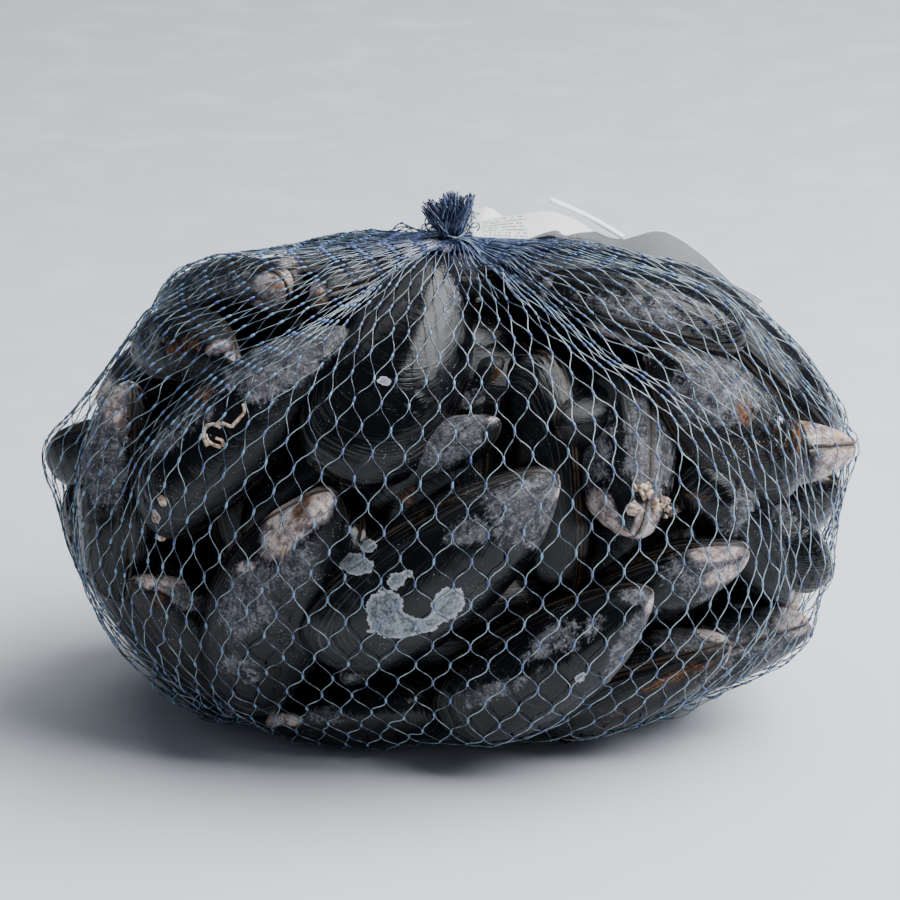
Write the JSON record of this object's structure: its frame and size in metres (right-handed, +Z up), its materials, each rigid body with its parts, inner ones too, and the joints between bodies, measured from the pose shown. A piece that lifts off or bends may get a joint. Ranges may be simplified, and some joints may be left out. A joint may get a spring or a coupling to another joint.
{
  "type": "net bag of raw mussels",
  "caption": "Closed net bag filled with raw blue mussels, gathered to a knot and tuft at the top, with a blank paper label behind.",
  "frame": {"origin": "middle of the bottom of the whole object's box, on the surface the bag rests on", "axes": "+Z up to the knot, +X to the right along the bag's width, +Y away from the front, towards the label"},
  "size_m": [0.2073, 0.1318, 0.1398],
  "materials": {
    "shells": "satin",
    "net_twine": "satin",
    "label_paper": "matte"
  },
  "bodies": {
    "root": {"mussel_net_bag": "shells", "neck_tie": "net_twine", "paper_label": "label_paper"}
  },
  "joints": []
}
